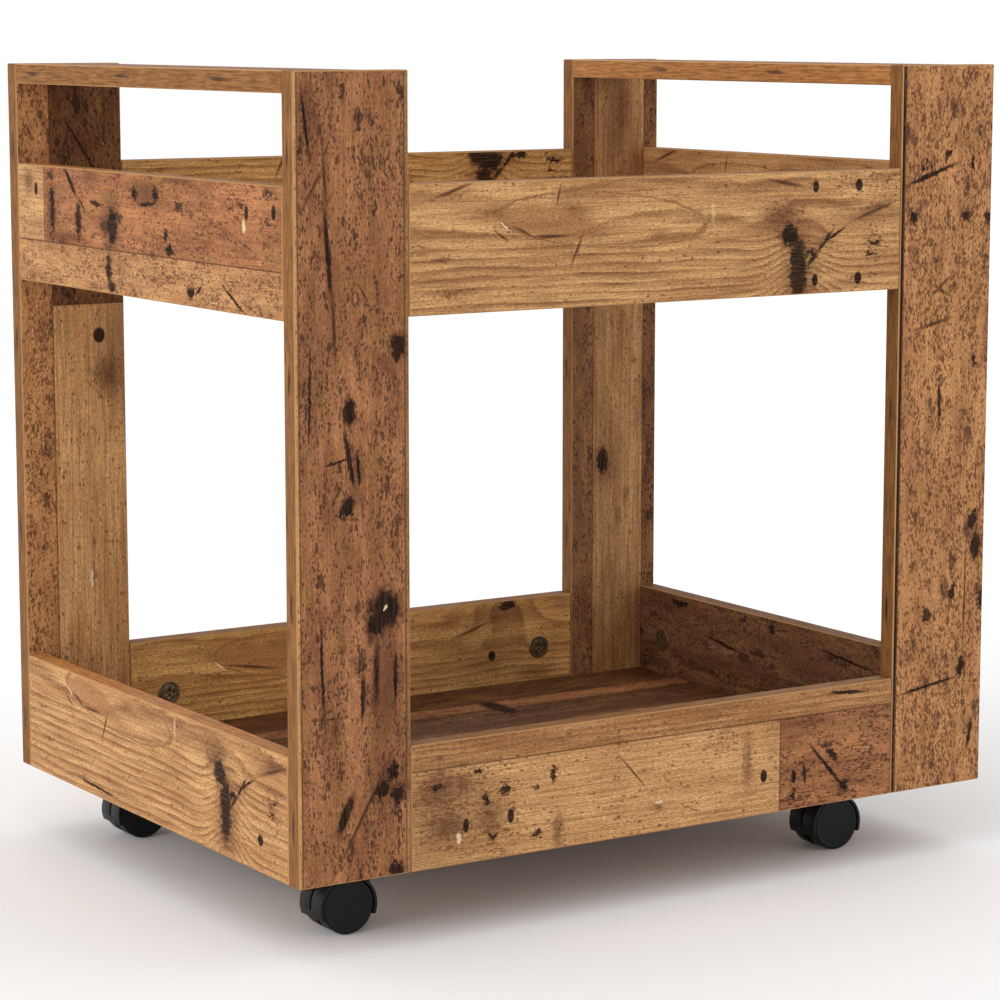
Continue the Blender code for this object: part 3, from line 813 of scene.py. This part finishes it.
def carve(obj, mesh, matrix=None, operation="DIFFERENCE"):
    """Cuts a mesh out of an object, or joins it on, and keeps the result."""
    other = bpy.data.objects.new("form", mesh)
    bpy.context.scene.collection.objects.link(other)
    other.matrix_world = matrix or Matrix.Identity(4)
    modifier = obj.modifiers.new("form", "BOOLEAN")
    modifier.operation = operation
    modifier.object = other
    settle(obj)
    bpy.data.objects.remove(other)


def settle(obj):
    """Makes an object's modified shape its mesh."""
    bpy.context.view_layer.update()
    graph = bpy.context.evaluated_depsgraph_get()
    mesh = bpy.data.meshes.new_from_object(obj.evaluated_get(graph))
    obj.modifiers.clear()
    obj.data = mesh


def bevelled(obj, width, segments=3, angle=40.0):
    modifier = obj.modifiers.new("edges", "BEVEL")
    modifier.width = width
    modifier.segments = segments
    modifier.limit_method = "ANGLE"
    modifier.angle_limit = math.radians(angle)
    settle(obj)
    obj.data.shade_smooth()
    obj.data.set_sharp_from_angle(angle=math.radians(50))


def take(obj):
    """The mesh of a helper object, which is then removed."""
    mesh = obj.data
    bpy.data.objects.remove(obj)
    return mesh


PLASTIC_SPECULAR = 0.22
FINE_RELIEF = 0.0001


def scaled_point(g):
    """Object coordinates in millimetres."""
    texture = g.add("ShaderNodeTexCoord")
    return g.vector("MULTIPLY", texture.outputs["Object"], (MM_PER_M, MM_PER_M, MM_PER_M))


def plastic_material(name, dark, light, rough_low, rough_high):
    """Moulded black plastic: a fine spark-eroded skin, faint flow marks and a little dust."""
    g = Graph(name)
    point = scaled_point(g)
    flow = g.noise(point, (9.0, 9.0, 9.0), detail=3.0)
    colour = g.mix(g.step(flow, 0.35, 0.68), dark, light)
    skin = g.noise(point, (0.35, 0.35, 0.35), detail=2.0)
    wear = g.noise(point, (2.2, 2.2, 2.2), detail=4.0, roughness=0.7)
    colour = g.mix(g.step(wear, 0.62, 0.78, 0.0, 0.3), colour, DUST)
    g.feed(g.shader.inputs["Base Color"], colour)
    g.feed(g.shader.inputs["Roughness"], g.step(flow, 0.3, 0.7, rough_low, rough_high))
    g.shader.inputs["Specular IOR Level"].default_value = PLASTIC_SPECULAR
    height = g.math("MULTIPLY_ADD", wear, 0.6, skin)
    g.feed(g.shader.inputs["Normal"], g.bump(height, 0.25, FINE_RELIEF))
    return g.material


def metal_material(name, bright, dull, rough_low, rough_high, brushed):
    """Plated metal with a mottled coat and fine scratches, whose size is brushed."""
    g = Graph(name)
    point = scaled_point(g)
    mottle = g.noise(point, (3.0, 3.0, 3.0), detail=4.0, roughness=0.65)
    colour = g.mix(g.step(mottle, 0.36, 0.66), dull, bright)
    scratch = g.noise(point, brushed, detail=3.0, roughness=0.6)
    rough = g.step(mottle, 0.3, 0.7, rough_high, rough_low)
    g.feed(g.shader.inputs["Base Color"], colour)
    g.feed(g.shader.inputs["Roughness"], g.math("MULTIPLY_ADD", scratch, 0.12, rough))
    g.shader.inputs["Metallic"].default_value = 1.0
    g.feed(g.shader.inputs["Normal"], g.bump(scratch, 0.2, FINE_RELIEF))
    return g.material


HOOD_PLASTIC = plastic_material("hood_plastic", srgb(16, 16, 17), srgb(25, 25, 26), 0.34, 0.46)
WHEEL_PLASTIC = plastic_material("wheel_plastic", srgb(12, 12, 13), srgb(20, 20, 21), 0.38, 0.52)
ZINC = metal_material(
    "zinc", srgb(168, 158, 134), srgb(122, 112, 90), 0.22, 0.34, brushed=(4.0, 0.4, 4.0)
)
STEEL = metal_material(
    "steel", srgb(186, 188, 190), srgb(140, 142, 146), 0.26, 0.40, brushed=(8.0, 0.3, 0.3)
)


def finish_piece(obj, material, body, slot, *nodes):
    obj.data.materials.clear()
    obj.data.materials.append(material)
    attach(obj, body)
    if nodes:
        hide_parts(*nodes)


# Cam fittings: housing and bolt

FLANGE_RADIUS = 0.0097
FLANGE_RISE = 0.0009
FLANGE_ROUNDING = 0.0005
GROOVE_INNER = 0.0066
GROOVE_OUTER = 0.0073
GROOVE_FLOOR = 0.0004
CROSS_SLOT = ((0.0088, 0.0019), (0.0019, 0.0066))
CROSS_DEPTH = 0.0014
CUTTER_TOP = 0.002
BOLT_RADIUS = 0.0030
BOLT_DEPTH = 0.0073
CAM_BEVEL = 0.00025
CAM_SIDES = 48


def fitting_mesh(radius, depth, bolt_reach):
    """A cam on local -Z with a flange and a cross slot in its face, and its bolt along +X."""
    housing = [(0, -depth), (radius, -depth), (radius, 0)]
    flange = [(FLANGE_RADIUS, 0), (FLANGE_RADIUS, FLANGE_RISE), (0, FLANGE_RISE)]
    profile = rounded(housing + flange, FLANGE_ROUNDING)
    cam = new_object("cam_form", lathe("cam", profile, CAM_SIDES), 0)
    ring = [(GROOVE_INNER, CUTTER_TOP), (GROOVE_INNER, GROOVE_FLOOR)]
    ring += [(GROOVE_OUTER, GROOVE_FLOOR), (GROOVE_OUTER, CUTTER_TOP)]
    carve(cam, lathe_ring("groove", ring, CAM_SIDES))
    for length, width in CROSS_SLOT:
        half = Vector((length / 2, width / 2, CROSS_DEPTH))
        carve(cam, box("slot", -half, half))
    bolt = cylinder("bolt", BOLT_RADIUS, 0.0, bolt_reach, 20)
    turn = Matrix.Rotation(math.pi / 2, 4, "Y")
    carve(cam, bolt, Matrix.Translation((0, 0, -BOLT_DEPTH)) @ turn, "UNION")
    bevelled(cam, CAM_BEVEL, 2, 50)
    return take(cam)


def lathe_ring(name, profile, sides):
    """A ring turned about Z from a closed (radius, height) outline."""
    bm = bmesh.new()
    columns = []
    for step in range(sides):
        angle = 2 * math.pi * step / sides
        turn = Vector((math.cos(angle), math.sin(angle), 0))
        columns.append([bm.verts.new(turn * r + Vector((0, 0, z))) for r, z in profile])
    count = len(profile)
    for step, column in enumerate(columns):
        following = columns[(step + 1) % sides]
        for index in range(count):
            after = (index + 1) % count
            bm.faces.new((column[index], column[after], following[after], following[index]))
    return mesh_of(name, bm)


def directions(node):
    """A fitting's face normal and bolt direction, read from its name."""
    words = node.split("_")
    ways = {"left": -1, "right": 1, "front": -1, "rear": 1}
    if words[1] == "long":
        return Vector((0, -ways[words[3]], 0)), Vector((ways[words[4]], 0, 0))
    if words[1] == "side":
        return Vector((-ways[words[3]], 0, 0)), Vector((0, ways[words[4]], 0))
    return Vector((0, 0, -1)), Vector((0, ways[words[3]], 0))


def fitting_frame(node, radius):
    """Where a fitting's face centre is, with local Z out of the face and X along the bolt."""
    low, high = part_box(node)
    normal, bolt = directions(node)
    centre = (low + high) / 2
    for axis in range(3):
        if bolt[axis]:
            centre[axis] = low[axis] + radius if bolt[axis] > 0 else high[axis] - radius
        elif normal[axis]:
            centre[axis] = high[axis] if normal[axis] > 0 else low[axis]
    turn = Matrix((bolt, normal.cross(bolt), normal)).transposed()
    return Matrix.Translation(centre) @ turn.to_4x4()


def add_fittings():
    nodes = [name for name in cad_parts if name.startswith("cam_")]
    low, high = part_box("cam_long_lower_front_left")
    radius = (high.z - low.z) / 2
    depth = high.y - low.y
    reach = (high.x - low.x) - radius
    mesh = fitting_mesh(radius, depth, reach)
    mesh.materials.append(ZINC)
    for name in sorted(nodes):
        obj = bpy.data.objects.new(f"{name}_detail", mesh)
        bpy.context.scene.collection.objects.link(obj)
        obj.matrix_world = fitting_frame(name, radius)
        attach(obj, "trolley")
        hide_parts(name)


# Casters

RIM_WIDTH = 0.0026
DISH_INSET = 0.0032
DISH_EDGE_DEPTH = 0.0004
DISH_DEPTH = 0.0006
TREAD_ROUNDING = 0.0011
LIP = -0.008
WELL_RADIUS = 0.0208
WEB = 0.0044
TRAIL = 0.016
BOSS_RADIUS = 0.0085
BOSS_TOP = 0.0301
SLIT_DEPTH = 0.0013
SLIT_HALF_WIDTH = 0.0013
SLIT_START, SLIT_END = 118, 186
SOCKET_RADIUS = 0.0028
SOCKET_FLOOR = 0.0180
SOCKET_TOP = 0.034
HOOD_BEVEL = 0.0007
SCREW_PITCH = 0.027
SCREW_CROSS = ((0.0036, 0.0007), (0.0007, 0.0036))
SCREW_DEPTH = 0.0019
ROUND_SIDES = 72


def wheel_mesh(radius, width):
    """A wheel with its inner face at height 0, and a shallow dish within its outer rim."""
    outline = [(0, 0), (radius, 0), (radius, width), (radius - RIM_WIDTH, width)]
    outline += [(radius - DISH_INSET, width - DISH_EDGE_DEPTH), (0, width - DISH_DEPTH)]
    return lathe("wheel", rounded(outline, TREAD_ROUNDING), ROUND_SIDES)


def hood_outline(radius, lip, sides):
    """The outline in X and Z of a disc cut off level below the height lip."""
    start = math.asin(lip / radius)
    sweep = math.pi - 2 * start
    angles = [start + sweep * k / sides for k in range(sides + 1)]
    return [(radius * math.cos(angle), radius * math.sin(angle)) for angle in angles]


def prism(name, outline, half):
    """An outline in X and Z, carried through Y from -half to half."""
    bm = bmesh.new()
    near = [bm.verts.new((x, -half, z)) for x, z in outline]
    far = [bm.verts.new((x, half, z)) for x, z in outline]
    bm.faces.new(near)
    bm.faces.new(list(reversed(far)))
    count = len(outline)
    for k in range(count):
        after = (k + 1) % count
        bm.faces.new((near[k], far[k], far[after], near[after]))
    return mesh_of(name, bm)


def arc_band(inner, outer, start, end, steps=12):
    """The outline in X and Z of a band about the origin between two angles in degrees."""
    outline = []
    for radius, first, last in ((outer, start, end), (inner, end, start)):
        for k in range(steps + 1):
            angle = math.radians(first + (last - first) * k / steps)
            outline.append((radius * math.cos(angle), radius * math.sin(angle)))
    return outline


def hood_mesh(radius, width):
    """The hood about the wheels' axle, open below, with a well on each side of its web."""
    hood = new_object("hood_form", prism("hood", hood_outline(radius, LIP, 64), width / 2), 0)
    over_boss = Matrix.Translation((TRAIL, 0, 0))
    carve(hood, cylinder("boss", BOSS_RADIUS, 0.0, BOSS_TOP, 48), over_boss, "UNION")
    turn = Matrix.Rotation(math.pi / 2, 4, "X")
    for low, high in ((WEB / 2, width), (-width, -WEB / 2)):
        carve(hood, cylinder("well", WELL_RADIUS, low, high, ROUND_SIDES), turn)
    slit = arc_band(radius - SLIT_DEPTH, radius + CUTTER_TOP, SLIT_START, SLIT_END)
    carve(hood, prism("slit", slit, SLIT_HALF_WIDTH))
    carve(hood, cylinder("socket", SOCKET_RADIUS, SOCKET_FLOOR, SOCKET_TOP, 24), over_boss)
    bevelled(hood, HOOD_BEVEL, 3, 40)
    return take(hood)


def screw_mesh():
    """A pan-head screw under a plate: the head hangs below z = 0, its shank goes up."""
    head = [(0, -SCREW_DEPTH), (0.0020, -0.0018), (0.0032, -0.0011), (0.0035, -0.0002)]
    profile = head + [(0.0035, 0), (0.0018, 0), (0.0018, 0.0015), (0, 0.0015)]
    screw = new_object("screw_form", lathe("screw", profile, 32), 0)
    for length, width in SCREW_CROSS:
        half = Vector((length / 2, width / 2, 0.0010))
        carve(screw, box("cross", -half, half), Matrix.Translation((0, 0, -SCREW_DEPTH)))
    mesh = take(screw)
    mesh.shade_smooth()
    mesh.set_sharp_from_angle(angle=math.radians(35))
    return mesh


def add_caster(end, side, meshes):
    """The hood, wheels and plate screws of one caster. Its plate and pins stay as they are."""
    where = f"{end}_{side}"
    axle_low, axle_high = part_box(f"axle_{where}")
    axle = (axle_low + axle_high) / 2
    hood = new_object(f"hood_{where}_detail", meshes["hood"], 0)
    hood.matrix_world = Matrix.Translation(axle)
    finish_piece(hood, HOOD_PLASTIC, f"caster_{where}", "black_plastic", f"hood_{where}")
    for piece, way in (("outer", -1), ("inner", 1)):
        low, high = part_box(f"wheel_{piece}_{where}")
        inner_face = high.y if way < 0 else low.y
        wheel = new_object(f"wheel_{piece}_{where}_detail", meshes["wheel"], 40)
        turn = Matrix.Rotation(-way * math.pi / 2, 4, "X")
        wheel.matrix_world = Matrix.Translation((axle.x, inner_face, axle.z)) @ turn
        body = f"wheel_{piece}_{where}"
        finish_piece(wheel, WHEEL_PLASTIC, body, "black_plastic", body)
    plate_low, plate_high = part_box(f"mounting_plate_{where}")
    middle = (plate_low + plate_high) / 2
    for row in range(2):
        for column in range(2):
            screw = new_object(f"plate_screw_{where}_{row}{column}", meshes["screw"], 0)
            offset = Vector((row - 0.5, column - 0.5, 0)) * SCREW_PITCH
            at = Vector((middle.x, middle.y, plate_low.z)) + offset
            screw.matrix_world = Matrix.Translation(at)
            finish_piece(screw, STEEL, "trolley", "steel")


def add_casters():
    axle_low, axle_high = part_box("axle_front_left")
    wheel_low, wheel_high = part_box("wheel_outer_front_left")
    hood_low, hood_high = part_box("hood_front_left")
    axle = (axle_low + axle_high) / 2
    radius = axle.z
    meshes = {
        "wheel": wheel_mesh(radius, wheel_high.y - wheel_low.y),
        "hood": hood_mesh(axle.x - hood_low.x, hood_high.y - hood_low.y),
        "screw": screw_mesh(),
    }
    for end in ENDS:
        for side in SIDES:
            add_caster(end, side, meshes)


add_fittings()
add_casters()
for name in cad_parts:
    if name.startswith(("mounting_plate", "kingpin", "axle")):
        repaint(name, STEEL)


# Studio

FLOOR_HALF_SIZE = 30.0
FLOOR_DROP = 0.0004
SUN_FROM = (-1.0, -0.12, 0.42)
SUN_STRENGTH = 0.85
SUN_WIDTH = 35.0
SKY_STRENGTH = 1.0
CAMERA_PLACE = (-1.3135, -2.0600, 0.6315)
CAMERA_TURN = 0.5691
CAMERA_DOWN = 0.1481
CAMERA_LENS = 115.08


def add_floor():
    bm = bmesh.new()
    bmesh.ops.create_grid(bm, x_segments=1, y_segments=1, size=FLOOR_HALF_SIZE)
    floor = new_object("floor", mesh_of("floor", bm), 0)
    floor.location.z = -FLOOR_DROP
    g = Graph("floor_paper")
    point = scaled_point(g)
    grain = g.noise(point, (2.0, 2.0, 2.0), detail=2.0)
    g.feed(g.shader.inputs["Base Color"], g.mix(grain, srgb(249, 249, 249), srgb(253, 253, 253)))
    g.shader.inputs["Roughness"].default_value = 0.9
    g.shader.inputs["Specular IOR Level"].default_value = 0.1
    floor.data.materials.append(g.material)


def add_world(strength):
    world = bpy.data.worlds.new("studio")
    bpy.context.scene.world = world
    world.use_nodes = True
    background = world.node_tree.nodes["Background"]
    background.inputs["Color"].default_value = (1.0, 1.0, 1.0, 1.0)
    background.inputs["Strength"].default_value = strength


def add_sun(from_way, strength, width):
    """A broad soft light from one direction; width is its apparent size in degrees."""
    data = bpy.data.lights.new("key", "SUN")
    data.energy = strength
    data.angle = math.radians(width)
    sun = bpy.data.objects.new("key", data)
    bpy.context.scene.collection.objects.link(sun)
    sun.rotation_euler = (-Vector(from_way)).to_track_quat("-Z", "Y").to_euler()


def add_camera():
    """The camera stands in front, to the left, a little above the trolley's top."""
    data = bpy.data.cameras.new("camera")
    data.sensor_width = 36.0
    data.lens = CAMERA_LENS
    data.clip_start, data.clip_end = 0.05, 100.0
    camera = bpy.data.objects.new("camera", data)
    bpy.context.scene.collection.objects.link(camera)
    camera.location = CAMERA_PLACE
    level = math.cos(CAMERA_DOWN)
    forward = Vector(
        (math.sin(CAMERA_TURN) * level, math.cos(CAMERA_TURN) * level, -math.sin(CAMERA_DOWN))
    )
    camera.rotation_euler = forward.to_track_quat("-Z", "Y").to_euler()
    bpy.context.scene.camera = camera


add_floor()
add_world(SKY_STRENGTH)
add_sun(SUN_FROM, SUN_STRENGTH, SUN_WIDTH)
add_camera()
bpy.context.scene.view_settings.view_transform = "Standard"
